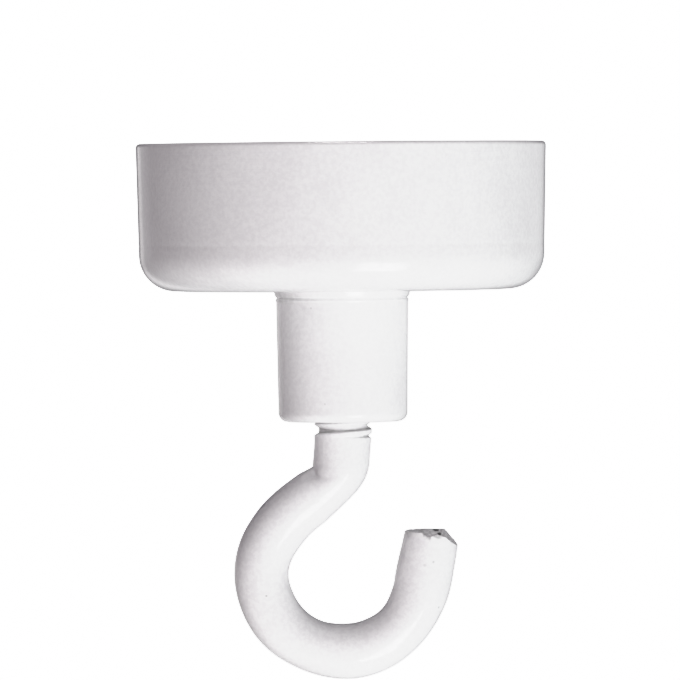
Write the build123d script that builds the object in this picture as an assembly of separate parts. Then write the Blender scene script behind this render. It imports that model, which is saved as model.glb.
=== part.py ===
"""Magnetic hook: a white-coated steel pot with a ferrite magnet in it, a threaded bush under it and a bent wire hook screwed into the bush.

Frame, in millimetres: the origin is the centre of the ground magnetic face, and +Z points out of that face. The hook hangs
below, bent in the XZ plane, with its mouth towards +X. Everything but the hook is round about the Z axis.
"""

from build123d import *

import math
import os

# ---------------------------------------------------------------- driving dimensions (mm, degrees)
# pot: a pressed steel cup, open upwards
POT_D = 36.0  # over the rim
POT_H = 13.0  # magnetic face to the outside of the base
POT_DRAFT = 0.28  # how much the wall's radius falls from the face to the base
POT_CORNER_R = 3.15  # outer corner between wall and base
POT_INNER_R = 15.8
POT_INNER_CORNER_R = 1.3
POT_BASE_T = 2.5
RIM_ROUND = 0.35  # outer edge of the rim
RIM_INNER_CHAMFER = 0.25

# magnet: a hard ferrite disc, ground flush with the rim
MAGNET_D = 28.0
MAGNET_CHAMFER = 0.35

# resin: fills the gap between magnet and wall, a little below the face
RESIN_RECESS = 0.4

# bush: turned steel, its spigot staked into the base of the pot
BUSH_D_TOP = 11.5
BUSH_D_END = 11.18
BUSH_LENGTH = 11.55  # below the pot's base
BUSH_END_R = 0.8
COLLAR_D = 11.9
COLLAR_H = 0.72
COLLAR_EDGE_R = 0.18
GROOVE_DEPTH = 0.14  # the fine line between collar and body
GROOVE_W = 0.22
GROOVE_EDGE_R = 0.12
SPIGOT_D = 8.0
STAKE_D = 9.2  # the spigot's end, spread into the countersink inside the base
STAKE_H = 0.6
BORE_R = 2.55  # M5 female thread, as a plain bore
BORE_MOUTH_CHAMFER = 0.3

# hook: round wire, its shank rolled to an M5 thread
WIRE_R = 2.4
THREAD_R = 2.5  # M5 major radius; the shank is plain here
SHANK_TOP_Z = -14.6
SHANK_TOP_CHAMFER = 0.5
THREAD_END_Z = -25.55  # the thread runs out just under the bush
RUN_OUT = 0.3
BEND_START_Z = -27.9
BEND_R = 2.45  # so tight that its inner side is a crease
BEND_ANGLE = 53.8
NECK_LENGTH = 2.95  # straight run after the bend
BACK_R, BACK_ANGLE = 11.7, 22.4  # upper back, nearly straight
SHOULDER_R, SHOULDER_ANGLE = 5.6, 44.0
BOWL_R = 7.15  # the round of the hook
TIP_LEAN = 10.6  # the tip leans outwards from the vertical
TIP_LENGTH = 4.75  # straight run up to the sheared end
# the sheared end: a flat facet and a steep one, which meet in a ridge
RIDGE_X, RIDGE_Z = 8.69, -34.03
FLAT_SLOPE = 1.2  # the flat facet falls towards the shank
FLAT_FORWARD = 4.0  # and leans to the front (-Y)
STEEP_SLOPE = 48.5  # the steep facet falls outwards
STEEP_FORWARD = 9.0

os.makedirs("parts", exist_ok=True)


def turned(outline, rounds=(), bevels=()):
    """A solid of revolution about Z. outline is a closed list of (r, z); rounds and bevels are ((r, z), size) at its corners."""
    with BuildPart() as part:
        with BuildSketch(Plane.XZ) as sketch:
            with BuildLine():
                Polyline(*outline, close=True)
            make_face()

            def corner(point):
                return min(sketch.vertices(), key=lambda v: (v.X - point[0]) ** 2 + (v.Y - point[1]) ** 2)

            for point, radius in rounds:
                fillet(corner(point), radius)
            for point, size in bevels:
                chamfer(corner(point), size)
        revolve(axis=Axis.Z)
    return part.part.solids()[0]


# ---------------------------------------------------------------- pot
z_base = -POT_H
z_floor = z_base + POT_BASE_T
r_rim, r_base = POT_D / 2, POT_D / 2 - POT_DRAFT
pot_shell = turned(
    [
        (SPIGOT_D / 2, z_base),
        (r_base, z_base),
        (r_rim, 0),
        (POT_INNER_R, 0),
        (POT_INNER_R, z_floor),
        (STAKE_D / 2, z_floor),
        (SPIGOT_D / 2, z_floor - STAKE_H),
    ],
    rounds=[((r_base, z_base), POT_CORNER_R), ((r_rim, 0), RIM_ROUND), ((POT_INNER_R, z_floor), POT_INNER_CORNER_R)],
    bevels=[((POT_INNER_R, 0), RIM_INNER_CHAMFER)],
)

# ---------------------------------------------------------------- magnet
r_mag = MAGNET_D / 2
magnet = turned(
    [(0, z_floor), (r_mag, z_floor), (r_mag, 0), (0, 0)],
    bevels=[((r_mag, z_floor), MAGNET_CHAMFER), ((r_mag, 0), MAGNET_CHAMFER)],
)

# ---------------------------------------------------------------- resin, cast into what pot and magnet leave
resin_h = -RESIN_RECESS - z_floor
resin = Pos(0, 0, z_floor + resin_h / 2) * Cylinder(POT_INNER_R + 0.5, resin_h)
resin = resin - pot_shell - Pos(0, 0, z_floor / 2) * Cylinder(r_mag, 2 - z_floor)
resin_ring = max(resin.solids(), key=lambda s: s.volume)

# ---------------------------------------------------------------- bush
z_end = z_base - BUSH_LENGTH
z_collar = z_base - COLLAR_H
r_top, r_end = BUSH_D_TOP / 2, BUSH_D_END / 2
threaded_bush = turned(
    [
        (BORE_R, z_floor),
        (STAKE_D / 2, z_floor),
        (SPIGOT_D / 2, z_floor - STAKE_H),
        (SPIGOT_D / 2, z_base),
        (COLLAR_D / 2, z_base),
        (COLLAR_D / 2, z_collar),
        (r_top - GROOVE_DEPTH, z_collar),
        (r_top - GROOVE_DEPTH, z_collar - GROOVE_W),
        (r_top, z_collar - GROOVE_W),
        (r_end, z_end),
        (BORE_R + BORE_MOUTH_CHAMFER, z_end),
        (BORE_R, z_end + BORE_MOUTH_CHAMFER),
    ],
    rounds=[
        ((r_end, z_end), BUSH_END_R),
        ((COLLAR_D / 2, z_collar), COLLAR_EDGE_R),
        ((r_top, z_collar - GROOVE_W), GROOVE_EDGE_R),
    ],
)

# ---------------------------------------------------------------- hook
# The wire's middle line lies in the XZ plane. Headings are in degrees, 0 along +X and 90 up; a turn to the left is positive.
bowl_angle = 180 + BEND_ANGLE - BACK_ANGLE - SHOULDER_ANGLE - TIP_LEAN
SPARE = 2.5  # what the shear takes off
route = [
    ("run", SHANK_TOP_Z - SHANK_TOP_CHAMFER - BEND_START_Z),
    ("arc", BEND_R, -BEND_ANGLE),
    ("run", NECK_LENGTH),
    ("arc", BACK_R, BACK_ANGLE),
    ("arc", SHOULDER_R, SHOULDER_ANGLE),
    ("arc", BOWL_R, bowl_angle),
    ("run", TIP_LENGTH + SPARE),
]
wire_top = SHANK_TOP_Z - SHANK_TOP_CHAMFER
with BuildPart() as part:
    with BuildLine(Plane.XZ):
        x, z, heading = 0.0, wire_top, -90.0
        for leg in route:
            ahead = (math.cos(math.radians(heading)), math.sin(math.radians(heading)))
            if leg[0] == "run":
                end = (x + ahead[0] * leg[1], z + ahead[1] * leg[1])
                Line((x, z), end)
            else:
                JernArc((x, z), ahead, leg[1], leg[2])
                side = 90 if leg[2] > 0 else -90
                to_centre = math.radians(heading + side)
                heading += leg[2]
                from_centre = math.radians(heading - side)
                end = (
                    x + leg[1] * (math.cos(to_centre) + math.cos(from_centre)),
                    z + leg[1] * (math.sin(to_centre) + math.sin(from_centre)),
                )
            x, z = end
    with BuildSketch(Plane((0, 0, wire_top), x_dir=(1, 0, 0), z_dir=(0, 0, -1))):
        Circle(WIRE_R)
    sweep()
wire = part.part.solids()[0]

shank = turned(
    [
        (0, SHANK_TOP_Z),
        (THREAD_R - SHANK_TOP_CHAMFER, SHANK_TOP_Z),
        (THREAD_R, SHANK_TOP_Z - SHANK_TOP_CHAMFER),
        (THREAD_R, THREAD_END_Z),
        (WIRE_R, THREAD_END_Z - RUN_OUT),
        (0, THREAD_END_Z - RUN_OUT),
    ]
)


def beyond(slope, forward):
    """A block that holds everything above one facet of the sheared end. It starts clear of the shank."""
    s, f = math.radians(slope), math.radians(forward)
    plane = Plane((RIDGE_X, 0, RIDGE_Z), z_dir=(math.sin(s), -math.tan(f) * math.cos(s), math.cos(s)))
    return (plane * Pos(0, 0, 10) * Box(40, 40, 20)) & (Pos(4.2 + 10, 0, RIDGE_Z) * Box(20, 40, 9))


hook = (shank + wire) - beyond(-FLAT_SLOPE, FLAT_FORWARD) - beyond(STEEP_SLOPE, STEEP_FORWARD)
hook = max(hook.solids(), key=lambda s: s.volume)

# ---------------------------------------------------------------- files
pieces = {
    "pot_shell": pot_shell,
    "magnet": magnet,
    "resin_ring": resin_ring,
    "threaded_bush": threaded_bush,
    "hook": hook,
}
for name, solid in pieces.items():
    export_step(solid, f"parts/{name}.step")
    box = solid.bounding_box()
    print(f"{name:14s} {solid.volume:9.2f} mm3  x {box.min.X:.2f} to {box.max.X:.2f}  y {box.min.Y:.2f} to {box.max.Y:.2f}  z {box.min.Z:.2f} to {box.max.Z:.2f}")
length = sum(leg[1] if leg[0] == "run" else leg[1] * math.radians(abs(leg[2])) for leg in route)
print(f"wire {wire.volume:.2f} mm3 before the shear, its section times its length {math.pi * WIRE_R**2 * length:.2f} mm3, tip's middle line ends at ({x:.2f}, {z:.2f})")
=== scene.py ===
"""Magnetic hook, as it looks: white-coated pot, bush and bent wire hook, with a ground magnetic face on top.

Lengths in the shape code are millimetres in the part's own frame: the origin is the centre of the magnetic face, +Z points out of
that face, and the hook hangs below it, bent in the XZ plane with its mouth towards +X.
"""

import math

import bpy
import numpy as np
from mathutils import Matrix, Vector


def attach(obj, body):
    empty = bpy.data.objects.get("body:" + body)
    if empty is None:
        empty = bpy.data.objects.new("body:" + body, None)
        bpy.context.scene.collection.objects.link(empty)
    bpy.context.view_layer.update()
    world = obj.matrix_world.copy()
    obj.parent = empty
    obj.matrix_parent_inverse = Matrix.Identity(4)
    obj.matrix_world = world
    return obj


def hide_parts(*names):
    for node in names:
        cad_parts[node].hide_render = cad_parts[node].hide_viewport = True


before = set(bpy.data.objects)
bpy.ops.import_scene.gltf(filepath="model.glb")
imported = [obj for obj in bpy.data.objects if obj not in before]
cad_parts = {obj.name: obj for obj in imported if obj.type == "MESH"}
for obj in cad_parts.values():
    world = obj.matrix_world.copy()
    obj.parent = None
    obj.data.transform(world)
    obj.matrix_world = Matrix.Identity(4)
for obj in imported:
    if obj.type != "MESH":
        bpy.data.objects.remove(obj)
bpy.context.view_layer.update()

MM = 0.001
BASE, HOOK = "magnet_base", "hook"


# ================================================================ shape helpers
def lattice_noise(seed, size=32):
    """Smooth repeatable noise in three dimensions, about -1 to 1."""
    grid = np.random.default_rng(seed).uniform(-1, 1, (size, size, size))

    def at(p):
        p = np.asarray(p, float)
        i = np.floor(p).astype(int)
        f = p - i
        f = f * f * (3 - 2 * f)
        total = 0
        for corner in range(8):
            o = np.array([corner & 1, corner >> 1 & 1, corner >> 2 & 1])
            w = np.prod(np.where(o, f, 1 - f), axis=-1)
            j = (i + o) % size
            total = total + w * grid[j[..., 0], j[..., 1], j[..., 2]]
        return total

    return at


def smoothstep(x, lo, hi):
    t = np.clip((np.asarray(x, float) - lo) / (hi - lo), 0, 1)
    return t * t * (3 - 2 * t)


def make_mesh(name, points, faces, attributes=None):
    """A smooth-shaded mesh object from points in millimetres, with its own float attributes."""
    mesh = bpy.data.meshes.new(name)
    mesh.from_pydata((np.asarray(points) * MM).tolist(), [], [tuple(int(i) for i in f) for f in faces])
    mesh.validate()
    for key, values in (attributes or {}).items():
        mesh.attributes.new(key, "FLOAT", "POINT").data.foreach_set("value", np.asarray(values, np.float32))
    mesh.polygons.foreach_set("use_smooth", [True] * len(mesh.polygons))
    mesh.set_sharp_from_angle(angle=math.radians(38))
    mesh.update()
    obj = bpy.data.objects.new(name, mesh)
    bpy.context.scene.collection.objects.link(obj)
    return obj


def profile(corners, closed=True, step=None):
    """A polyline of (r, z) through corners (r, z, radius), each rounded by its radius. Next to each round there is a support point."""
    n = len(corners)
    out = []
    for k, (r, z, radius) in enumerate(corners):
        here = np.array([r, z], float)
        if not closed and k in (0, n - 1) or radius <= 0:
            out.append(here)
            continue
        back = np.array(corners[k - 1][:2], float) - here
        on = np.array(corners[(k + 1) % n][:2], float) - here
        room_back, room_on = np.linalg.norm(back), np.linalg.norm(on)
        back, on = back / room_back, on / room_on
        half = math.acos(np.clip(back @ on, -1, 1)) / 2
        reach = radius / math.tan(half)
        centre = here + (back + on) / np.linalg.norm(back + on) * radius / math.sin(half)
        a, b = here + back * reach, here + on * reach
        turn = math.pi - 2 * half
        count = max(3, int(math.ceil(turn / math.radians(6))))
        spare = min(0.12, 0.25 * (room_back - reach))
        if spare > 0.01:
            out.append(a + back * spare)
        va, vb = a - centre, b - centre
        for i in range(count + 1):
            t = i / count
            w = (math.sin((1 - t) * turn) * va + math.sin(t * turn) * vb) / math.sin(turn)
            out.append(centre + w)
        spare = min(0.12, 0.25 * (room_on - reach))
        if spare > 0.01:
            out.append(b + on * spare)
    if step:
        fine = []
        for k, p in enumerate(out):
            fine.append(p)
            if k + 1 < len(out) or closed:
                q = out[(k + 1) % len(out)]
                cuts = int(np.linalg.norm(q - p) // step)
                fine += [p + (q - p) * (i + 1) / (cuts + 1) for i in range(cuts)]
        out = fine
    return np.array(out)


def turned(name, outline, segments, closed=True, shape=None, attributes=None):
    """A body of revolution about Z. outline runs so that its left side, seen with r to the right and z up, is the material.
    An open outline starts and ends on the axis. shape(points, r, z, angle) may move the points."""
    angles = np.arange(segments) * 2 * math.pi / segments
    body = outline if closed else outline[1:-1]
    n = len(body)
    r, a = np.meshgrid(body[:, 0], angles, indexing="ij")
    z = np.repeat(body[:, 1][:, None], segments, 1)
    points = np.stack([r * np.cos(a), r * np.sin(a), z], -1)
    if shape is not None:
        points = shape(points, r, z, a)
    points = points.reshape(-1, 3)
    j = np.arange(segments)
    k = (j + 1) % segments
    faces = []
    for i in range(n if closed else n - 1):
        m = (i + 1) % n
        faces += np.stack([i * segments + j, i * segments + k, m * segments + k, m * segments + j], 1).tolist()
    if not closed:
        first, last = len(points), len(points) + 1
        points = np.vstack([points, [[0, 0, outline[0][1]]], [[0, 0, outline[-1][1]]]])
        faces += [(first, int(v), int(u)) for u, v in zip(j, k)]
        faces += [(last, int((n - 1) * segments + u), int((n - 1) * segments + v)) for u, v in zip(j, k)]
    made = attributes(points) if attributes else None
    return make_mesh(name, points, faces, made)


# ================================================================ node helpers
class Tree:
    """Short ways to put shader nodes together."""

    def __init__(self, tree):
        self.tree = tree

    def add(self, kind, **settings):
        node = self.tree.nodes.new(kind)
        for key, value in settings.items():
            setattr(node, key, value)
        return node

    def put(self, socket, value):
        if hasattr(value, "is_output"):
            self.tree.links.new(value, socket)
        else:
            socket.default_value = value

    def math(self, operation, *values, clamp=False):
        node = self.add("ShaderNodeMath", operation=operation, use_clamp=clamp)
        for socket, value in zip(node.inputs, values):
            self.put(socket, value)
        return node.outputs[0]

    def vector(self, operation, *values, scale=None):
        node = self.add("ShaderNodeVectorMath", operation=operation)
        for socket, value in zip(node.inputs, values):
            self.put(socket, value)
        if scale is not None:
            self.put(node.inputs["Scale"], scale)
        return node.outputs["Value"] if operation in ("DOT_PRODUCT", "DISTANCE", "LENGTH") else node.outputs["Vector"]

    def noise(self, where, scale, detail=2.0, rough=0.5, distortion=0.0):
        node = self.add("ShaderNodeTexNoise", noise_dimensions="3D")
        self.put(node.inputs["Vector"], where)
        for key, value in (("Scale", scale), ("Detail", detail), ("Roughness", rough), ("Distortion", distortion)):
            self.put(node.inputs[key], value)
        return node.outputs["Fac"]

    def cells(self, where, scale, feature="F1"):
        node = self.add("ShaderNodeTexVoronoi", feature=feature)
        self.put(node.inputs["Vector"], where)
        self.put(node.inputs["Scale"], scale)
        return node.outputs["Distance"]

    def ramp(self, value, lo, hi, to_lo=0.0, to_hi=1.0, smooth=True):
        node = self.add("ShaderNodeMapRange", interpolation_type="SMOOTHSTEP" if smooth else "LINEAR", clamp=True)
        for key, v in (("Value", value), ("From Min", lo), ("From Max", hi), ("To Min", to_lo), ("To Max", to_hi)):
            self.put(node.inputs[key], v)
        return node.outputs["Result"]

    def mix(self, factor, a, b):
        node = self.add("ShaderNodeMix", data_type="RGBA", blend_type="MIX")
        self.put(node.inputs["Factor"], factor)
        self.put(node.inputs[6], a)
        self.put(node.inputs[7], b)
        return node.outputs[2]

    def blend(self, factor, a, b):
        node = self.add("ShaderNodeMix", data_type="FLOAT")
        self.put(node.inputs["Factor"], factor)
        self.put(node.inputs[2], a)
        self.put(node.inputs[3], b)
        return node.outputs[0]

    def join(self, x, y, z):
        node = self.add("ShaderNodeCombineXYZ")
        for socket, value in zip(node.inputs, (x, y, z)):
            self.put(socket, value)
        return node.outputs[0]

    def bump(self, height, distance, strength=1.0, normal=None):
        node = self.add("ShaderNodeBump")
        self.put(node.inputs["Height"], height)
        self.put(node.inputs["Distance"], distance)
        self.put(node.inputs["Strength"], strength)
        if normal is not None:
            self.put(node.inputs["Normal"], normal)
        return node.outputs["Normal"]


def material(name):
    """A material with one Principled shader: (material, its Tree, the shader, the piece's own coordinates in millimetres)."""
    mat = bpy.data.materials.new(name)
    mat.use_nodes = True
    t = Tree(mat.node_tree)
    mat.node_tree.nodes.clear()
    out = t.add("ShaderNodeOutputMaterial")
    shader = t.add("ShaderNodeBsdfPrincipled")
    t.tree.links.new(shader.outputs[0], out.inputs["Surface"])
    own = t.add("ShaderNodeTexCoord").outputs["Object"]
    return mat, t, shader, t.vector("SCALE", own, scale=1000.0)


# ================================================================ materials
COAT_LIGHT = (0.858, 0.855, 0.861, 1)
COAT_DEEP = (0.764, 0.755, 0.768, 1)
STEEL = (0.50, 0.49, 0.485, 1)


def xyz(t, where):
    node = t.add("ShaderNodeSeparateXYZ")
    t.put(node.inputs[0], where)
    return node.outputs


def white_coat(name, specks_and_shade_spots=(), bare=None, streaks=False, grime_and_shade=False, roughness=0.125, uneasy=0.20):
    """Baked white enamel: faint orange peel, slightly uneven colour and gloss, and a few small dark inclusions at given
    places, some of them spots of painted shade.
    bare(tree, own coordinates, normal) gives where the steel shows, from 0 to 1. When asked, dirt and painted shade
    darken the coat where the mesh's attribute says so."""
    mat, t, shader, own = material(name)
    x, y, z = xyz(t, own)
    cloud = t.noise(own, 0.22, 3.0, 0.55)
    peel = t.noise(own, 2.5, 2.0, 0.5)
    grain = t.noise(own, 7.5, 2.0, 0.5)
    mottle = t.noise(own, 2.5, 3.0, 0.6)
    colour = t.mix(t.math("ADD", t.math("MULTIPLY", t.ramp(cloud, 0.30, 0.72), 0.35), t.math("MULTIPLY", t.ramp(mottle, 0.5 - uneasy, 0.5 + uneasy), 0.65)), COAT_LIGHT, COAT_DEEP)
    dust = t.ramp(t.noise(own, 3.1, 3.0, 0.6), 0.72, 0.82)
    colour = t.mix(t.math("MULTIPLY", dust, 0.20), colour, (0.62, 0.60, 0.60, 1))
    if grime_and_shade:
        dirt_and_shade = t.add("ShaderNodeAttribute", attribute_name="grime_and_shade").outputs["Fac"]
        dirt_and_shade = t.math("MULTIPLY", dirt_and_shade, t.ramp(mottle, 0.25, 0.65, 0.75, 1.0))
        # painted shade and dirt: the coat goes dark in the thread's root, under the bush's end and at the tip, as the
        # mesh's attribute gives
        colour = t.mix(dirt_and_shade, colour, (0.15, 0.145, 0.145, 1))
    pits_and_shade = None
    for px, py, pz, size, depth in specks_and_shade_spots:
        away = t.vector("DISTANCE", t.vector("ADD", own, t.vector("SCALE", t.join(grain, peel, cloud), scale=size * 0.9)), (px + size * 0.45, py + size * 0.45, pz + size * 0.45))
        spot = t.math("MULTIPLY", t.ramp(away, size * 0.45, size * 1.15, 1.0, 0.0), depth)
        pits_and_shade = spot if pits_and_shade is None else t.math("MAXIMUM", pits_and_shade, spot)
    if pits_and_shade is not None:
        # each spot darkens the coat: real inclusions, and on the bush spots of painted shade
        colour = t.mix(pits_and_shade, colour, (0.12, 0.11, 0.11, 1))
    rough = t.math("ADD", t.math("MULTIPLY", t.math("SUBTRACT", cloud, 0.5), 0.08), t.math("ADD", t.math("MULTIPLY", t.math("SUBTRACT", grain, 0.5), 0.08), roughness))
    if grime_and_shade:
        rough = t.math("ADD", rough, t.math("MULTIPLY", dirt_and_shade, 0.35))
    height = t.math("ADD", t.math("MULTIPLY", peel, 1.0), t.math("MULTIPLY", grain, 0.22))
    if streaks:
        # drawing marks from the press: fine lines around the wall, clearest near the rim
        around = t.math("ARCTAN2", y, x)
        lines = t.noise(t.join(t.math("MULTIPLY", around, 1.6), 0.0, t.math("MULTIPLY", z, 4.2)), 1.0, 3.0, 0.6)
        where = t.ramp(z, -7.5, -0.8)
        height = t.math("ADD", height, t.math("MULTIPLY", t.math("MULTIPLY", lines, where), 0.85))
        colour = t.mix(t.math("MULTIPLY", t.math("MULTIPLY", t.ramp(lines, 0.56, 0.75), where), 0.10), colour, (0.66, 0.645, 0.66, 1))
    normal = t.bump(height, 0.000016, 1.0)
    if bare is None:
        t.put(shader.inputs["Base Color"], colour)
        t.put(shader.inputs["Roughness"], rough)
    else:
        mask, metal, metallic, metal_rough, normal = bare(t, own, normal)
        t.put(shader.inputs["Base Color"], t.mix(mask, colour, metal))
        t.put(shader.inputs["Metallic"], t.math("MULTIPLY", mask, metallic))
        t.put(shader.inputs["Roughness"], t.blend(mask, rough, metal_rough))
    t.put(shader.inputs["Normal"], normal)
    shader.inputs["IOR"].default_value = 1.5
    return mat


def ground_rim(t, own, normal):
    """The rim's face is ground bare together with the magnet, in straight lines along X; the coat ends in a ragged edge on its round."""
    x, y, z = xyz(t, own)
    ragged = t.noise(own, 2.2, 3.0, 0.6)
    mask = t.ramp(t.math("ADD", z, t.math("MULTIPLY", t.math("SUBTRACT", ragged, 0.5), 0.05)), -0.04, -0.022)
    lines = t.noise(t.join(t.math("MULTIPLY", x, 0.07), t.math("MULTIPLY", y, 9.0), 0.0), 1.0, 4.0, 0.65)
    stain = t.noise(own, 0.6, 3.0, 0.6)
    metal = t.mix(t.ramp(lines, 0.3, 0.7), (0.74, 0.735, 0.74, 1), (0.50, 0.495, 0.50, 1))
    metal = t.mix(t.math("MULTIPLY", t.ramp(stain, 0.52, 0.72), 0.35), metal, (0.33, 0.29, 0.26, 1))
    rough = t.ramp(lines, 0.25, 0.75, 0.32, 0.52)
    height = t.math("MULTIPLY", t.math("MULTIPLY", lines, mask), 1.0)
    return mask, metal, 0.45, rough, t.bump(height, 0.000006, 0.8, normal)


def sheared_tip(t, own, normal):
    """Where the wire was sheared after coating, rough steel shows, with torn bits of coat on it; the steel is painted
    much lighter than bare steel, as painted light.
    """
    node = t.add("ShaderNodeAttribute", attribute_name="bare")
    torn = t.noise(own, 3.0, 3.0, 0.65)
    mask = t.ramp(t.math("ADD", node.outputs["Fac"], t.math("MULTIPLY", t.math("SUBTRACT", torn, 0.5), 1.1)), 0.40, 0.62)
    lines = t.noise(t.vector("MULTIPLY", own, (3.0, 1.1, 3.0)), 1.0, 4.0, 0.65)
    x, y, z = xyz(t, own)
    # near white: painted light on facets that the lamps barely reach, far lighter than bare steel
    metal = t.mix(t.ramp(lines, 0.34, 0.64), (1.0, 0.99, 0.99, 1), (0.66, 0.65, 0.655, 1))
    # darker at the inner end, and two pits beside the ridge
    darker_patch = t.math("MULTIPLY", t.ramp(t.math("ADD", x, t.math("MULTIPLY", torn, 0.5)), 7.0, 7.6, 1.0, 0.0), 0.18)
    metal = t.mix(darker_patch, metal, (0.24, 0.235, 0.24, 1))
    for px, py, pz, size, narrow in ((8.08, 0.95, -34.14, 0.28, 0.18), (8.36, -1.75, -34.32, 0.20, 0.25)):
        away = t.vector("LENGTH", t.vector("MULTIPLY", t.vector("SUBTRACT", own, (px, py, pz)), (0.85, narrow, 0.8)))
        away = t.math("ADD", away, t.math("MULTIPLY", t.math("SUBTRACT", torn, 0.5), 0.12))
        metal = t.mix(t.math("MULTIPLY", t.ramp(away, size * 0.55, size * 1.1, 1.0, 0.0), 0.95), metal, (0.02, 0.02, 0.02, 1))
    rough = t.ramp(lines, 0.25, 0.75, 0.50, 0.70)
    height = t.math("MULTIPLY", t.math("MULTIPLY", lines, mask), 1.0)
    return mask, metal, 0.0, rough, t.bump(height, 0.00009, 1.0, normal)


def ferrite_face(name):
    """Hard ferrite: charcoal grey, ground in straight lines, fine pores and a few lighter grains."""
    mat, t, shader, own = material(name)
    x, y, z = xyz(t, own)
    lines = t.noise(t.join(t.math("MULTIPLY", x, 0.06), t.math("MULTIPLY", y, 8.0), t.math("MULTIPLY", z, 1.5)), 1.0, 4.0, 0.65)
    grain = t.noise(own, 9.0, 3.0, 0.6)
    cloud = t.noise(own, 0.35, 3.0, 0.55)
    pores = t.ramp(t.cells(own, 2.6), 0.05, 0.13, 1.0, 0.0)
    colour = t.mix(t.ramp(lines, 0.3, 0.7), (0.050, 0.051, 0.055, 1), (0.085, 0.086, 0.091, 1))
    colour = t.mix(t.math("MULTIPLY", t.ramp(grain, 0.60, 0.74), 0.5), colour, (0.16, 0.16, 0.165, 1))
    colour = t.mix(t.math("MULTIPLY", t.ramp(cloud, 0.45, 0.75), 0.45), colour, (0.062, 0.057, 0.054, 1))
    colour = t.mix(t.math("MULTIPLY", pores, 0.7), colour, (0.018, 0.018, 0.019, 1))
    t.put(shader.inputs["Base Color"], colour)
    t.put(shader.inputs["Roughness"], t.math("ADD", t.ramp(lines, 0.25, 0.75, 0.36, 0.50), t.math("MULTIPLY", pores, 0.2)))
    height = t.math("ADD", t.math("MULTIPLY", lines, 0.5), t.math("SUBTRACT", t.math("MULTIPLY", grain, 0.35), t.math("MULTIPLY", pores, 1.2)))
    t.put(shader.inputs["Normal"], t.bump(height, 0.000014, 1.0))
    shader.inputs["IOR"].default_value = 1.9
    return mat


def cast_resin(name):
    """Black casting resin, satin, with small burst bubbles."""
    mat, t, shader, own = material(name)
    flow = t.noise(own, 0.55, 3.0, 0.55)
    grain = t.noise(own, 7.0, 2.0, 0.5)
    bubbles = t.ramp(t.cells(own, 0.95), 0.06, 0.16, 1.0, 0.0)
    colour = t.mix(t.ramp(flow, 0.35, 0.7), (0.018, 0.017, 0.017, 1), (0.034, 0.031, 0.029, 1))
    colour = t.mix(t.math("MULTIPLY", bubbles, 0.8), colour, (0.007, 0.007, 0.007, 1))
    t.put(shader.inputs["Base Color"], colour)
    t.put(shader.inputs["Roughness"], t.math("ADD", t.ramp(flow, 0.3, 0.7, 0.24, 0.40), t.math("MULTIPLY", grain, 0.08)))
    height = t.math("SUBTRACT", t.math("ADD", flow, t.math("MULTIPLY", grain, 0.08)), bubbles)
    t.put(shader.inputs["Normal"], t.bump(height, 0.00006, 1.0))
    shader.inputs["IOR"].default_value = 1.52
    return mat


# ================================================================ pot: pressed cup, open upwards
POT = profile(
    [
        (4.0, -12.92, 0.04),
        (17.72, -12.92, 3.15),
        (18.0, 0.0, 0.35),
        (16.05, 0.0, 0.06),
        (15.8, -0.25, 0.06),
        (15.8, -10.5, 1.3),
        (4.6, -10.5, 0.04),
        (4.0, -11.1, 0.04),
    ]
)
wall = [k for k in range(len(POT) - 1) if POT[k][0] > 17 and POT[k + 1][0] > 17 and POT[k + 1][1] - POT[k][1] > 5][0]
POT = np.concatenate([POT[: wall + 1], [POT[wall] + (POT[wall + 1] - POT[wall]) * (i + 1) / 91 for i in range(90)], POT[wall + 1 :]])


def waisted(points, r, z, a):
    """The press leaves a hair of a waist in the wall, just above its round."""
    scale = 1 - np.where(r > 17, 0.018 * np.exp(-(((z + 8.91) / 0.25) ** 2)) / r, 0)
    return points * np.stack([scale, scale, np.ones_like(scale)], -1)


pot = turned("pot_coated", POT, 288, shape=waisted)
pot.data.materials.append(white_coat("pot_coat", bare=ground_rim, streaks=True))
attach(pot, BASE)
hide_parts("pot_shell")

# ================================================================ magnet: ferrite disc with small chips along its ground edge
chip_noise, chip_fine = lattice_noise(11), lattice_noise(12)


def chipped(points, r, z, a):
    p = points.copy()
    edge = (r > 13.5) & (z > -0.45)
    around = np.stack([14 * np.cos(a) / 0.9, 14 * np.sin(a) / 0.9, z * 0 + 0.5], -1)
    fine = np.stack([p[..., 0] / 0.28, p[..., 1] / 0.28, p[..., 2] / 0.28], -1)
    bite = smoothstep(chip_noise(around), 0.32, 0.62) * 0.30
    near = smoothstep(r, 13.55, 13.7) * smoothstep(z, -0.5, -0.3)
    depth = bite * near * (0.8 + 0.35 * chip_fine(fine))
    p[..., 2] -= np.where(edge, np.clip(depth, 0, 0.34), 0)
    return p


MAGNET = profile(
    [(0.0, -10.5, 0), (13.65, -10.5, 0.04), (14.0, -10.15, 0.04), (14.0, -0.35, 0.03), (13.65, 0.0, 0.03), (0.0, 0.0, 0)],
    closed=False,
    step=None,
)
rings = [p for p in MAGNET]
fine_edge = []
for k, p in enumerate(rings):
    fine_edge.append(p)
    if k + 1 < len(rings):
        q = rings[k + 1]
        if p[1] > -0.6 and q[1] > -0.6:
            cuts = 10 if q[0] < 13.0 else 5
            spots = [13.35, 13.45, 13.52, 13.58] if q[0] < 1.0 else None
            if spots:
                fine_edge += [np.array([s, 0.0]) for s in reversed(spots)] + [np.array([s, 0.0]) for s in (12.5, 9.0, 5.0, 2.0)]
            else:
                fine_edge += [p + (q - p) * (i + 1) / (cuts + 1) for i in range(cuts)]
magnet = turned("ferrite_disc", np.array(fine_edge), 360, closed=False, shape=chipped)
magnet.data.materials.append(ferrite_face("ferrite"))
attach(magnet, BASE)
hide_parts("magnet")

# ================================================================ resin: a ring with a hollow top, drawn up a little at both walls
MENISCUS = []
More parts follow.
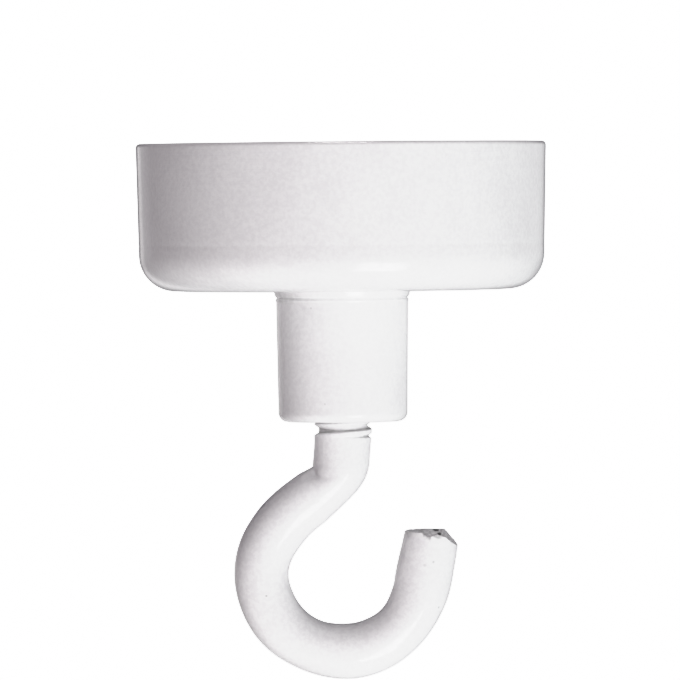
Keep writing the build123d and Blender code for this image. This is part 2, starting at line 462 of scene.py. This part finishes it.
for i in range(25):
    u = -1 + 2 * i / 24
    MENISCUS.append((14.9 - 0.9 * u, -0.62 + 0.22 * abs(u) ** 2.6, 0))
RESIN = profile([(14.0, -10.45, 0.03), (14.6, -10.5, 0), (15.79, -10.2, 0.3)] + [(15.8, MENISCUS[0][1], 0)] + MENISCUS[1:-1] + [(14.0, MENISCUS[-1][1], 0)])
resin_wave = lattice_noise(21)


def sagged(points, r, z, a):
    p = points.copy()
    top = z > -1.0
    inner = 1 - np.abs(r - 14.9) / 0.9
    p[..., 2] += np.where(top, 0.05 * np.clip(inner, 0, 1) * resin_wave(np.stack([np.cos(a) * 5, np.sin(a) * 5, a * 0 + 0.5], -1)), 0)
    return p


resin = turned("cast_resin", RESIN, 240, shape=sagged)
resin.data.materials.append(cast_resin("resin"))
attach(resin, BASE)
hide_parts("resin_ring")

# ================================================================ bush: turned, collared, coated together with the pot
BUSH = profile(
    [
        (2.55, -10.5, 0.03),
        (2.55, -24.17, 0.05),
        (2.85, -24.47, 0.05),
        (5.645, -24.47, 0.8),
        (5.785, -13.98, 0.15),
        (5.83, -13.81, 0.08),
        (5.755, -13.66, 0.06),
        (5.75, -13.57, 0.05),
        (5.865, -13.45, 0.08),
        (6.01, -12.98, 0.05),
        (6.06, -12.92, 0),
        (4.0, -12.92, 0.03),
        (4.0, -11.1, 0.03),
        (4.6, -10.5, 0.03),
    ]
)
bush = turned("bush_coated", BUSH, 224)
bush.data.materials.append(
    white_coat(
        "bush_coat",
        specks_and_shade_spots=[
            (-2.69, -5.06, -14.43, 0.13, 0.22),
            (-1.55, -5.4, -22.82, 0.12, 0.22),
            # painted shade and dirt along the groove under the collar, on its left side
            (-5.30, -2.25, -13.55, 0.56, 0.13),
            (-4.92, -2.98, -13.50, 0.54, 0.12),
            (-4.42, -3.68, -13.58, 0.52, 0.10),
            (-3.82, -4.30, -13.60, 0.46, 0.07),
            (-3.25, -4.75, -14.45, 0.34, 0.06),
        ],
    )
)
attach(bush, BASE)
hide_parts("threaded_bush")

# ================================================================ hook: round wire, threaded shank, one tight bend, a bowl and a sheared tip
SHANK_TOP = -14.6
ROUTE = [
    ("run", 13.3),
    ("arc", 2.45, -53.8),
    ("run", 2.95),
    ("arc", 11.7, 22.4),
    ("arc", 5.6, 44.0),
    ("arc", 7.15, 156.8),
    ("run", 4.75),
]
AROUND = 128
PITCH = 0.8


def on_route(s):
    """The wire's middle line at length s: x, z and heading in degrees."""
    x, z, heading = 0.0, SHANK_TOP, -90.0
    for k, leg in enumerate(ROUTE):
        last = k == len(ROUTE) - 1
        size = leg[1] if leg[0] == "run" else leg[1] * math.radians(abs(leg[2]))
        part = s if last or s < size else size
        if leg[0] == "run":
            x += math.cos(math.radians(heading)) * part
            z += math.sin(math.radians(heading)) * part
        else:
            turn = leg[2] * part / size
            side = 90 if leg[2] > 0 else -90
            to, heading = math.radians(heading + side), heading + turn
            back = math.radians(heading - side)
            x += leg[1] * (math.cos(to) + math.cos(back))
            z += leg[1] * (math.sin(to) + math.sin(back))
        s -= part
        if s <= 0:
            break
    return x, z, heading


def leg_start(k):
    return sum(leg[1] if leg[0] == "run" else leg[1] * math.radians(abs(leg[2])) for leg in ROUTE[:k])


S_BEND, S_NECK, S_BACK, S_SHOULDER, S_BOWL, S_TIP = (leg_start(k) for k in range(1, 7))
phi = np.arange(AROUND) * 2 * math.pi / AROUND


def thread_cut(z, angle):
    """How deep the right-hand thread cuts at height z and angle (degrees from +X), and how dark dirt and painted shade
    make it there. It runs out under the bush.
    """
    deepest, dirt_and_shade = np.zeros_like(z), np.zeros_like(z)
    # over one turn: how high the root's middle is, and half its width; the last turn is rolled a little unevenly
    turn = [-130, -90, 0, 90, 180, 225, 270, 315, 360]
    height = [-25.89, -25.83, -25.73, -25.50, -25.24, -25.20, -25.10, -24.97, -24.83]
    half = [0.05, 0.05, 0.06, 0.10, 0.19, 0.13, 0.05, 0.05, 0.05]
    low_line = [-25.94, -25.88, -25.78, -25.64, -25.47, -25.38, -25.29, -25.17, -25.04]
    high_line = [-25.85, -25.79, -25.68, -25.34, -25.04, -25.16, -25.28, -25.17, -25.04]
    for k in range(-1, 16):
        w = angle + 360.0 * k
        middle = np.interp(w, turn, height) + PITCH * np.maximum(w - 360.0, 0) / 360.0
        root = np.interp(w, turn, half)
        depth = 0.40 * smoothstep(w, -125.0, 100.0) * (1 - 0.3 * smoothstep(w, 420.0, 520.0))
        above, below = np.maximum(depth * 0.80, 1e-6), np.maximum(depth * 0.72, 1e-6)
        under = z - middle
        u = np.clip(np.where(under > 0, (root + above - under) / above, (root + below + under) / below), 0, 1)
        u = np.where(depth > 1e-4, u, 0)
        deepest = np.maximum(deepest, depth * (0.65 * u + 0.35 * u * u * (3 - 2 * u)))
        # painted shade with some dirt along both corners of the root, darkest where the thread comes round to the front
        low, high = np.interp(w, turn, low_line), np.interp(w, turn, high_line)
        seen = smoothstep(-w, -400.0, -370.0)
        line = np.maximum(0.72 * np.exp(-(((z - high) / 0.05) ** 2)), 0.92 * np.exp(-(((z - low) / 0.085) ** 2)))
        line = np.maximum(line, np.where((z < high) & (z > low), 0.36, 0)) + 0.60 * np.exp(-(((z - low) / 0.12) ** 2) - ((w - 360.0) / 30.0) ** 2)
        line = line * seen
        dirt_and_shade = np.maximum(dirt_and_shade, np.clip(line, 0, 0.95) * smoothstep(depth, 0.02, 0.22))
    return deepest, dirt_and_shade


def wire_radius(s):
    """The coated wire's radius along its length."""
    keys = [(0, 2.5), (9.85, 2.5), (10.0, 2.53), (10.9, 2.53), (11.3, 2.49), (12.6, 2.46), (S_BEND, 2.44), (S_NECK + 0.6, 2.38), (S_BACK + 1, 2.39), (S_SHOULDER, 2.39), (S_BOWL + 4, 2.375), (S_BOWL + 14, 2.375), (S_TIP, 2.42), (S_TIP + 3, 2.46), (S_TIP + 12, 2.46)]
    return np.interp(s, [k[0] for k in keys], [k[1] for k in keys])


def flattened(s):
    """How much the outer side is drawn flat by the bend, and how much the shank leans to the inner side above it."""
    outer = [(10.4, 0), (11.0, 0.03), (11.6, 0.05), (12.2, 0.09), (12.8, 0.13), (13.4, 0.15), (14.0, 0.21), (14.6, 0.32), (15.2, 0.375), (15.8, 0.27), (16.4, 0.18), (17.0, 0.125), (17.6, 0.06), (18.2, 0)]
    inner = [(10.6, 0), (11.1, 0.05), (11.6, 0.06), (12.4, 0.12), (13.3, 0.22), (14.2, 0.16), (15.6, 0.0)]
    return np.interp(s, *zip(*outer)), np.interp(s, *zip(*inner))


# bent by hand over pegs, the wire is a little thicker here and thinner there: (length, millimetres) on its left and right side
UNEVEN_LEFT = [(17.0, 0), (20.5, 0), (21.8, 0.03), (24.0, 0.03), (25.4, -0.02), (28.5, -0.01), (30.0, -0.04), (32.5, -0.08), (34.5, -0.06), (36.0, 0.02), (37.2, 0.06), (38.4, 0), (40.5, -0.03), (42.4, -0.12), (43.6, -0.06), (45.2, 0.07), (46.5, 0.08), (47.6, 0.12), (48.4, 0.08), (49.4, 0.02), (50.2, -0.05), (51.4, -0.10)]
UNEVEN_RIGHT = [(18.2, 0), (20.0, 0.03), (21.2, 0.10), (22.5, 0.07), (24.5, 0.03), (27.0, 0), (28.4, 0.03), (30.5, 0.09), (32.0, 0.05), (33.2, -0.05), (34.8, -0.05), (36.2, 0), (38.0, 0.09), (39.2, 0.06), (41.0, 0), (42.6, -0.07), (44.2, -0.11), (45.6, -0.06), (46.6, 0.03), (47.6, 0.08), (48.4, 0.04), (49.8, 0.02), (50.6, -0.02), (52.0, -0.07)]
fine_s = np.arange(10.0, 60.0, 0.05)
soften = np.exp(-((np.arange(-30, 31) * 0.05 / 0.6) ** 2))
soften = soften / soften.sum()
LEFT_SIDE, RIGHT_SIDE = (np.convolve(np.pad(np.interp(fine_s, *zip(*table)), 30, mode="edge"), soften, mode="valid") for table in (UNEVEN_LEFT, UNEVEN_RIGHT))


def uneven(s):
    """What the wire's radius gains or loses around it at length s, which may differ from point to point."""
    return np.interp(s, fine_s, LEFT_SIDE) * np.clip(np.cos(phi), 0, 1) ** 1.5 + np.interp(s, fine_s, RIGHT_SIDE) * np.clip(-np.cos(phi), 0, 1) ** 1.5


wave, rough_end, chip = lattice_noise(31), lattice_noise(32), lattice_noise(33)

stations = np.concatenate(
    [
        np.arange(0.0, 12.2, 0.045),
        np.arange(12.2, S_BEND, 0.12),
        np.arange(S_BEND, S_NECK, 0.055),
        np.arange(S_NECK, S_NECK + 2.8, 0.05),
        np.arange(S_NECK + 2.8, S_TIP, 0.15),
    ]
)
rows, bare_rows, grime_and_shade_rows = [], [], []


def ring(x, z, heading, radius):
    """Points around the wire: phi 0 is the left side of the heading, in the XZ plane."""
    h = math.radians(heading + 90)
    return np.stack([x + radius * np.cos(phi) * math.cos(h), radius * np.sin(phi), z + radius * np.cos(phi) * math.sin(h)], 1)


# the crease: inside the tight bend, shank and neck are squeezed against each other and meet in a sharp line
BEND_TOP = SHANK_TOP - ROUTE[0][1]
CORNER = np.array([0.0, BEND_TOP - ROUTE[1][1] * math.tan(math.radians(-ROUTE[1][2] / 2))])
neck_turn = math.radians(-ROUTE[1][2])
ALONG_NECK = np.array([-math.sin(neck_turn), -math.cos(neck_turn)])
OVER_NECK = np.array([-math.cos(neck_turn), math.sin(neck_turn)])


def shank_size(z, from_inner):
    """The shank's radius above the crease: it spreads to the inner side, most at 45 degrees to it."""
    c = np.clip(np.cos(from_inner), 0, 1)
    lean = np.interp(-z, [26.1, 27.0, 27.9, 28.45], [0.06, 0.14, 0.22, 0.27]) * c**2
    spread = 0.16 * np.exp(-(((np.abs(from_inner) - 0.72) / 0.36) ** 2)) * smoothstep(-z, 28.1, 29.2)
    return 2.455 + lean + spread - 1.2 * np.clip(-29.35 - z, 0, None)


def neck_size(a, from_inner):
    """The neck's radius at a distance along it: its inner side is pressed in next to the crease."""
    c = np.clip(np.cos(from_inner), 0, 1)
    pressed = 0.22 * c + 0.27 * np.exp(-(((np.abs(from_inner) - 0.72) / 0.30) ** 2))
    return 2.385 - pressed * (1 - smoothstep(a, 1.5, 3.4))


def creased(x, z, heading, natural):
    """The radius of a ring where shank and neck meet: whichever of the two reaches further out, on the inner side."""
    h = math.radians(heading + 90)
    ux, uy, uz = np.cos(phi) * math.cos(h), np.sin(phi), np.cos(phi) * math.sin(h)
    reach = []
    for flat, start, size in (
        (ux, x, lambda px, py, pz: shank_size(pz, np.arctan2(py, -px))),
        (
            ux * OVER_NECK[0] + uz * OVER_NECK[1],
            (x - CORNER[0]) * OVER_NECK[0] + (z - CORNER[1]) * OVER_NECK[1],
            lambda px, py, pz: neck_size((px - CORNER[0]) * ALONG_NECK[0] + (pz - CORNER[1]) * ALONG_NECK[1], np.arctan2(py, (px - CORNER[0]) * OVER_NECK[0] + (pz - CORNER[1]) * OVER_NECK[1])),
        ),
    ):
        d = natural.copy()
        q = np.maximum(flat**2 + uy**2, 1e-6)
        for _ in range(12):
            limit = size(x + d * ux, d * uy, z + d * uz)
            inside = limit**2 - start**2
            out = (-flat * start + np.sqrt(np.maximum((flat * start) ** 2 + q * inside, 0))) / q
            d = np.where(inside > 0, 0.5 * d + 0.5 * out, 0.5 * d)
        reach.append(np.clip(d, 0, 4))
    k = 0.07
    gap = np.clip(0.5 + 0.5 * (reach[0] - reach[1]) / k, 0, 1)
    return reach[1] * (1 - gap) + reach[0] * gap + k * gap * (1 - gap)


for s in stations:
    x, z, heading = on_route(s)
    r = np.full(AROUND, wire_radius(s))
    outer, inner = flattened(s)
    r = r - outer * np.clip(np.cos(phi), 0, 1) ** 1.5 + inner * np.clip(-np.cos(phi), 0, 1) ** 1.5 + uneven(s)
    dirt_and_shade = np.zeros(AROUND)
    if s < 12.4:
        cut, dirt_and_shade = thread_cut(np.full(AROUND, z), np.degrees(phi))
        r = r - cut
        r = np.minimum(r, 2.0 + s)  # the chamfer at the shank's top
        # painted shadow under the bush's end, darkest on the left side
        dirt_and_shade = np.maximum(dirt_and_shade, np.clip(0.20 - 0.52 * np.cos(phi), 0.0, 0.72) * smoothstep(z, -24.66, -24.55))
    if S_BEND - 1.2 < s < S_NECK + 2.6:
        share = smoothstep(-np.cos(phi), 0.02, 0.35) * smoothstep(s, S_BEND - 1.2, S_BEND - 0.7) * (1 - smoothstep(s, S_NECK + 1.9, S_NECK + 2.6))
        r = r + share * (creased(x, z, heading, r) - r)
    if s > 11.5:
        here = ring(x, z, heading, r)
        calm = smoothstep(s, 11.5, 13.5)
        r = r + calm * (0.014 * wave(here / 3.6) + 0.006 * wave(here / 1.3 + 7.7))
    rows.append(ring(x, z, heading, r))
    bare_rows.append(np.zeros(AROUND))
    grime_and_shade_rows.append(dirt_and_shade)

# the tip: a flat facet and a steep one, torn rather than cut
tip_x, tip_z, tip_heading = on_route(S_TIP)
along = np.array([math.cos(math.radians(tip_heading)), 0, math.sin(math.radians(tip_heading))])
left = np.array([math.cos(math.radians(tip_heading + 90)), 0, math.sin(math.radians(tip_heading + 90))])
RIDGE = np.array([8.66, 0, -34.165])
FACETS = []
for slope, forward in ((0.3, 1.8), (44.5, 6.5)):
    a, f = math.radians(slope), math.radians(forward)
    FACETS.append(np.array([math.sin(a), -math.tan(f) * math.cos(a), math.cos(a)]))
tip_r = 2.46 + uneven(S_TIP + 5.0)


def tip_length(share):
    """Where the end is, measured along the wire from the end of the bowl, for points at this share of the radius."""
    flat = np.array([tip_x, 0, tip_z]) + (tip_r * share)[..., None] * (np.cos(phi)[:, None] * left + np.sin(phi)[:, None] * np.array([0, 1.0, 0]))
    cut = np.min([-(flat - RIDGE) @ n / (n @ along) for n in FACETS], axis=0)
    top = flat + cut[..., None] * along
    torn = 0.045 * rough_end(top / 0.55) + 0.022 * rough_end(top / 0.21 + 3.3)
    # a torn bite out of the front edge, beside the ridge
    front = smoothstep(-top[..., 1], 0.2, 2.2)
    bite = smoothstep(top[..., 0], 6.95, 7.35) * (1 - smoothstep(top[..., 0], 8.55, 8.95)) * (0.24 + 0.13 * chip(top / 0.30) + 0.10 * chip(top / 0.15 + 2.2))
    bite = bite + np.exp(-(((top[..., 0] - 7.15) / 0.28) ** 2)) * (0.13 + 0.08 * chip(top / 0.22 + 5.1))
    bite = bite + 0.05 * np.clip(chip(top / 0.26 + 1.7), 0, 1)
    return np.minimum(cut + torn, cut + 0.045) - np.clip(bite, 0, 1) * front


ends = tip_length(np.ones(AROUND))
for f in np.linspace(0, 1, 46)[0:]:
    t = f * (ends - 0.05)
    r = np.interp(t, [0, 3.0], [2.42, 2.46]) + uneven(S_TIP + t)
    p = ring(tip_x, tip_z, tip_heading, r) + t[:, None] * along
    r = r + (0.014 * wave(p / 3.6) + 0.006 * wave(p / 1.3 + 7.7)) * (1 - 0.7 * f)
    rows.append(ring(tip_x, tip_z, tip_heading, r) + t[:, None] * along)
    bare_rows.append(np.full(AROUND, 0.28 * smoothstep(f, 0.965, 1.0)))
    # the coat is darker below the bite, and painted shade darkens it at the inner corner
    darker_patch = smoothstep(p[:, 0], 6.8, 7.05) * (1 - smoothstep(p[:, 0], 8.3, 8.6)) * smoothstep(f, 0.925, 0.99) * np.clip(0.40 + 1.0 * chip(p / 0.20 + 4.4), 0, 0.75)
    inner = (1 - smoothstep(p[:, 0], 5.55, 6.2)) * smoothstep(f, 0.78, 0.97) * np.clip(0.38 + 0.30 * chip(p / 0.35 + 2.9), 0, 0.55)
    grime_and_shade_rows.append((darker_patch + inner) * smoothstep(-p[:, 1], 0.1, 1.2))
shares = [0.985, 0.96, 0.92] + list(np.linspace(0.88, 0.06, 24))
for k, share in enumerate(shares):
    t = tip_length(np.full(AROUND, share)) - (0.012 if k == 0 else 0.0)
    rows.append(ring(tip_x, tip_z, tip_heading, tip_r * share) + t[:, None] * along)
    bare_rows.append(np.full(AROUND, (0.62, 0.85, 1.0)[min(k, 2)]))
    grime_and_shade_rows.append(np.zeros(AROUND))

points = np.concatenate([*rows, [[0, 0, SHANK_TOP]], [rows[-1].mean(0)]])
bare_values = np.concatenate([*bare_rows, [0], [1]])
grime_and_shade_values = np.concatenate([*grime_and_shade_rows, [0], [0]])
faces = []
j = np.arange(AROUND)
k1 = (j + 1) % AROUND
for i in range(len(rows) - 1):
    faces += np.stack([i * AROUND + j, (i + 1) * AROUND + j, (i + 1) * AROUND + k1, i * AROUND + k1], 1).tolist()
top_point, end_point = len(rows) * AROUND, len(rows) * AROUND + 1
faces += [(top_point, int(a), int(b)) for a, b in zip(j, k1)]
last = (len(rows) - 1) * AROUND
faces += [(end_point, int(last + b), int(last + a)) for a, b in zip(j, k1)]
hook = make_mesh("wire_hook", points, faces, {"bare": bare_values, "grime_and_shade": grime_and_shade_values})
hook.data.materials.append(
    white_coat(
        "hook_coat",
        specks_and_shade_spots=[
            (-6.87, -2.3, -39.66, 0.13, 0.65),
            (7.80, -2.37, -36.82, 0.14, 0.30),
            (7.05, -2.44, -37.10, 0.17, 0.18),
            (8.22, -1.47, -40.84, 0.14, 0.4),
        ],
        bare=sheared_tip,
        grime_and_shade=True,
        uneasy=0.11,
    )
)
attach(hook, HOOK)
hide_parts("hook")

# ================================================================ stage: pale floor well below, soft light, camera
floor_points = [[0, 0, -1000]]
for i in range(96):
    floor_points.append([750 * math.cos(i * math.pi / 48), 750 * math.sin(i * math.pi / 48), -1000])
floor = make_mesh("floor", floor_points, [(0, 1 + i, 1 + (i + 1) % 96) for i in range(96)])
floor_mat, t, shader, own = material("floor_pale")
t.put(shader.inputs["Base Color"], t.mix(t.ramp(t.noise(own, 0.02, 3.0, 0.5), 0.3, 0.7), (0.90, 0.90, 0.90, 1), (0.88, 0.88, 0.885, 1)))
shader.inputs["Roughness"].default_value = 0.8
shader.inputs["Emission Color"].default_value = (1, 1, 1, 1)
shader.inputs["Emission Strength"].default_value = 1.2
floor.data.materials.append(floor_mat)
floor.visible_diffuse = floor.visible_glossy = False

TARGET = Vector((0, 0, -0.024))


def soft_box(name, direction, distance, size, energy, colour=(1, 1, 1)):
    """A rectangular soft light, in this direction from the object and facing it."""
    data = bpy.data.lights.new(name, "AREA")
    data.shape = "RECTANGLE"
    data.size, data.size_y = size
    data.energy = energy
    data.color = colour
    lamp = bpy.data.objects.new(name, data)
    bpy.context.scene.collection.objects.link(lamp)
    lamp.location = TARGET + Vector(direction).normalized() * distance
    lamp.rotation_euler = (TARGET - lamp.location).to_track_quat("-Z", "Y").to_euler()
    lamp.visible_camera = False
    return lamp


soft_box("key", (0.346, -0.734, -0.585), 0.6, (0.26, 0.30), 2.14)
soft_box("fill", (-0.075, -0.05, -0.101), 0.1355, (0.12, 0.12), 0.051, (1.0, 0.955, 0.93))
soft_box("top", (0, 0, 1), 1.2, (0.34, 0.34), 5.2, (1.0, 0.98, 0.97))
back = soft_box("back", (0, 1, 0), 1.4, (0.16, 0.16), 12.0)
back.visible_glossy = False

WHITE = 1.8  # the light that shows as pure white
world = bpy.data.worlds.new("studio")
bpy.context.scene.world = world
world.use_nodes = True
w = Tree(world.node_tree)
world.node_tree.nodes.clear()
sky = w.add("ShaderNodeTexCoord").outputs["Generated"]
LOBES = [
    ((0, 0, 1), 0.0, (0.050, 0.046, 0.060), None),
    ((0, -1, 0), 1.0, (0.375, 0.315, 0.335), None),
    ((0.7, -0.3, -0.65), 2.0, (0.70, 0.755, 0.73), None),
    ((0.35, -0.85, -0.4), 3.0, (0.45, 0.51, 0.465), ((0.899, -0.438, 0), -0.06, 0.10)),
    ((0.8, 0.6, -0.2), 8.0, (0.11, 0.08, 0.09), None),
    ((-0.350, 0.937, 0), 200.0, (1.00, 0.99, 0.98), None),
    ((-0.545, 0.839, 0), 70.0, (0.60, 0.59, 0.59), None),
    ((-0.766, 0.643, 0), 30.0, (0.24, 0.235, 0.235), None),
    ((0.370, 0.929, 0), 160.0, (0.46, 0.46, 0.46), None),
    ((0.559, 0.829, 0), 60.0, (0.55, 0.55, 0.55), None),
    ((0.766, 0.643, 0), 30.0, (0.32, 0.315, 0.315), None),
    ((-0.285, 0.938, -0.200), 130.0, (0.82, 0.81, 0.81), None),
    ((-0.224, 0.890, -0.380), 90.0, (0.72, 0.71, 0.71), None),
    ((0.250, 0.890, -0.370), 60.0, (0.42, 0.415, 0.415), None),
]
total = None
for aim, power, colour, edge in LOBES:
    # light from all around one direction, stronger towards it; an edge (normal, from, to) cuts it off softly along a straight line
    facing = w.math("MAXIMUM", w.vector("DOT_PRODUCT", sky, tuple(Vector(aim).normalized())), 0.0)
    if power != 1:
        facing = w.math("POWER", facing, power)
    if edge is not None:
        facing = w.math("MULTIPLY", facing, w.ramp(w.vector("DOT_PRODUCT", sky, tuple(Vector(edge[0]).normalized())), edge[1], edge[2]))
    lobe = w.vector("SCALE", colour, scale=facing)
    total = lobe if total is None else w.vector("ADD", total, lobe)
soft = w.add("ShaderNodeBackground")
w.put(soft.inputs["Color"], total)
plain = w.add("ShaderNodeBackground")
plain.inputs["Color"].default_value = (1, 1, 1, 1)
plain.inputs["Strength"].default_value = WHITE
both = w.add("ShaderNodeMixShader")
w.put(both.inputs[0], w.add("ShaderNodeLightPath").outputs["Is Camera Ray"])
w.put(both.inputs[1], soft.outputs[0])
w.put(both.inputs[2], plain.outputs[0])
w.put(w.add("ShaderNodeOutputWorld").inputs["Surface"], both.outputs[0])

scene = bpy.context.scene
scene.view_settings.view_transform = "Standard"
scene.view_settings.look = "None"
# the highlights roll off softly, as they do on film, so that a white coat keeps its edge before a white ground
scene.view_settings.use_curve_mapping = True
response = scene.view_settings.curve_mapping
response.use_clip = False
response.clip_min_x, response.clip_max_x, response.clip_min_y, response.clip_max_y = 0.0, WHITE, 0.0, 1.0
response.extend = "HORIZONTAL"
SHOULDER = [(0.0, 0.0), (0.35, 0.35), (0.70, 0.70), (0.75, 0.7475), (0.80, 0.79), (0.86, 0.832), (0.92, 0.860), (1.0, 0.878), (1.15, 0.897), (1.5, 0.940), (WHITE, 1.0)]
for curve in response.curves[:3]:
    curve.points[0].location, curve.points[1].location = SHOULDER[0], SHOULDER[-1]
    for spot in SHOULDER[1:-1]:
        curve.points.new(*spot)
    for point in curve.points:
        point.handle_type = "VECTOR"
response.update()

ROLL = math.radians(0.5)
cam_data = bpy.data.cameras.new("camera")
cam_data.lens = 400
cam_data.sensor_width = 36
cam_data.sensor_fit = "HORIZONTAL"
cam_data.clip_start, cam_data.clip_end = 0.05, 6.0
camera = bpy.data.objects.new("camera", cam_data)
scene.collection.objects.link(camera)
aim = Vector((-0.214, 0, -17.34)) * MM
camera.location = Vector((-0.214, -663.4, -4.0)) * MM
forward = (aim - camera.location).normalized()
right = Vector((math.cos(ROLL), 0, -math.sin(ROLL)))
right = (right - forward * right.dot(forward)).normalized()
up = right.cross(forward)
camera.matrix_world = Matrix(
    (
        (right.x, up.x, -forward.x, camera.location.x),
        (right.y, up.y, -forward.y, camera.location.y),
        (right.z, up.z, -forward.z, camera.location.z),
        (0, 0, 0, 1),
    )
)
scene.camera = camera
